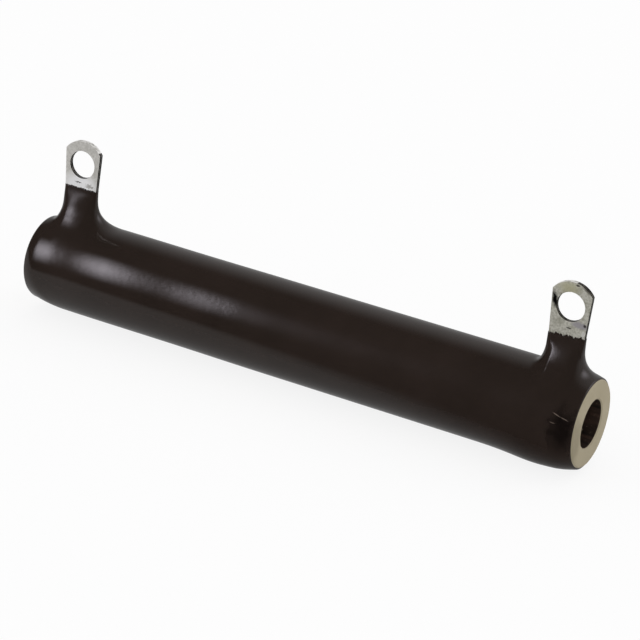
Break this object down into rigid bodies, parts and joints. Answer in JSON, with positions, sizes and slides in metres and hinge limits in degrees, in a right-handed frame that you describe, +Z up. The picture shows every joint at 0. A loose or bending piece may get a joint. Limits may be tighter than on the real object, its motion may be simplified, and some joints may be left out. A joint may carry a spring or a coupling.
{
  "type": "wirewound power resistor",
  "caption": "Tubular wirewound power resistor: resistance wire on a ceramic tube under dark brown vitreous enamel, with an upright holed lug terminal near each end.",
  "frame": {"origin": "middle of the bore through the ceramic tube, halfway along it", "axes": "+X along the tube towards the end with the thicker enamel swelling, +Z up along the terminal lugs, +Y away from the viewer through the lug holes"},
  "size_m": [0.1016, 0.0168, 0.0305],
  "materials": {
    "core_ceramic": "matt unglazed beige ceramic, dark inside the bore",
    "resistance_wire": "drawn nickel-chromium wire, dull grey",
    "tinned_strip": "tinned strip, warm grey, lightly stained",
    "enamel": "dark brown vitreous enamel, satin gloss"
  },
  "bodies": {
    "root": {"ceramic_core": "core_ceramic", "resistance_wire": "resistance_wire", "terminal_left": "tinned_strip", "terminal_right": "tinned_strip", "enamel_coat": "enamel"}
  },
  "joints": []
}
